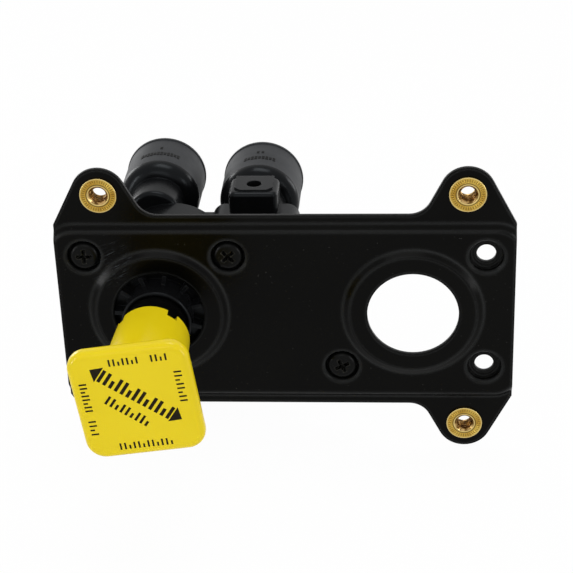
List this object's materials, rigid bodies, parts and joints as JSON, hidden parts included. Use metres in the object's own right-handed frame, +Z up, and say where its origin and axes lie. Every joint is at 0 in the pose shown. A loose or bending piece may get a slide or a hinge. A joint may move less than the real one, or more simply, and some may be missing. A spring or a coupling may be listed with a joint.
{
  "type": "air brake dash control valve",
  "caption": "Push-pull air brake control valve with a square button, on a stamped dash panel plate with brass inserts and push-to-connect tube ports behind.",
  "frame": {"origin": "centre of the four brass inserts, on the front face of the plate's flange", "axes": "+X right along the plate, +Y into the dash, away from the driver, +Z up"},
  "size_m": [0.1592, 0.1466, 0.11],
  "materials": {
    "black_steel": "satin black paint on stamped steel",
    "brass": "turned brass, bright",
    "black_screw": "black oxide",
    "black_composite": "glass filled moulding, semi matt",
    "plunger_plastic": "smooth black plastic",
    "yellow_button": "glossy moulded plastic",
    "collet_plastic": "smooth moulding",
    "spring_steel": "plain spring steel",
    "seal_rubber": "moulded rubber"
  },
  "bodies": {
    "root": {"panel_plate": "black_steel", "insert_top_left": "brass", "insert_top_right": "brass", "insert_bottom_left": "brass", "insert_bottom_right": "brass", "panel_screw_1": "black_screw", "panel_screw_2": "black_screw", "panel_screw_3": "black_screw", "panel_screw_4": "black_screw", "valve_body": "black_composite", "guide_collar": "black_composite", "collar_ring": "spring_steel", "return_spring": "spring_steel", "left_cartridge": "brass", "left_grab_ring": "spring_steel", "left_tube_seal": "seal_rubber", "right_cartridge": "brass", "right_grab_ring": "spring_steel", "right_tube_seal": "seal_rubber", "lower_cartridge": "brass", "lower_grab_ring": "spring_steel", "lower_tube_seal": "seal_rubber", "check_seat": "brass", "check_plug": "black_composite", "exhaust_flap": "seal_rubber"},
    "seat": {"spring_seat": "plunger_plastic"},
    "button": {"push_button": "yellow_button", "plunger": "plunger_plastic", "button_pin": "spring_steel", "flange_seal": "seal_rubber", "spool_seal": "seal_rubber"},
    "left_release": {"left_collet": "collet_plastic"},
    "right_release": {"right_collet": "collet_plastic"},
    "lower_release": {"lower_collet": "collet_plastic"},
    "shuttle": {"check_shuttle": "seal_rubber"}
  },
  "joints": [
    {"name": "button_push", "type": "slide", "parent": "root", "child": "seat", "axis": [0, 1, 0], "range_m": [0, 0.0101], "stiffness_N_per_m": 600, "springref_m": -0.008, "deforming": ["return_spring"]},
    {"name": "button_turn", "type": "hinge", "parent": "seat", "child": "button", "pos_m": [-0.04445, 0, 0.0008], "axis": [0, 1, 0], "continuous": true},
    {"name": "left_release_slide", "type": "slide", "parent": "root", "child": "left_release", "axis": [0, -1, 0], "range_m": [0, 0.0012]},
    {"name": "right_release_slide", "type": "slide", "parent": "root", "child": "right_release", "axis": [0, -1, 0], "range_m": [0, 0.0012]},
    {"name": "lower_release_slide", "type": "slide", "parent": "root", "child": "lower_release", "axis": [0, -1, 0], "range_m": [0, 0.0012]},
    {"name": "shuttle_slide", "type": "slide", "parent": "root", "child": "shuttle", "axis": [0, 0, 1], "range_m": [0, 0.0079]}
  ]
}
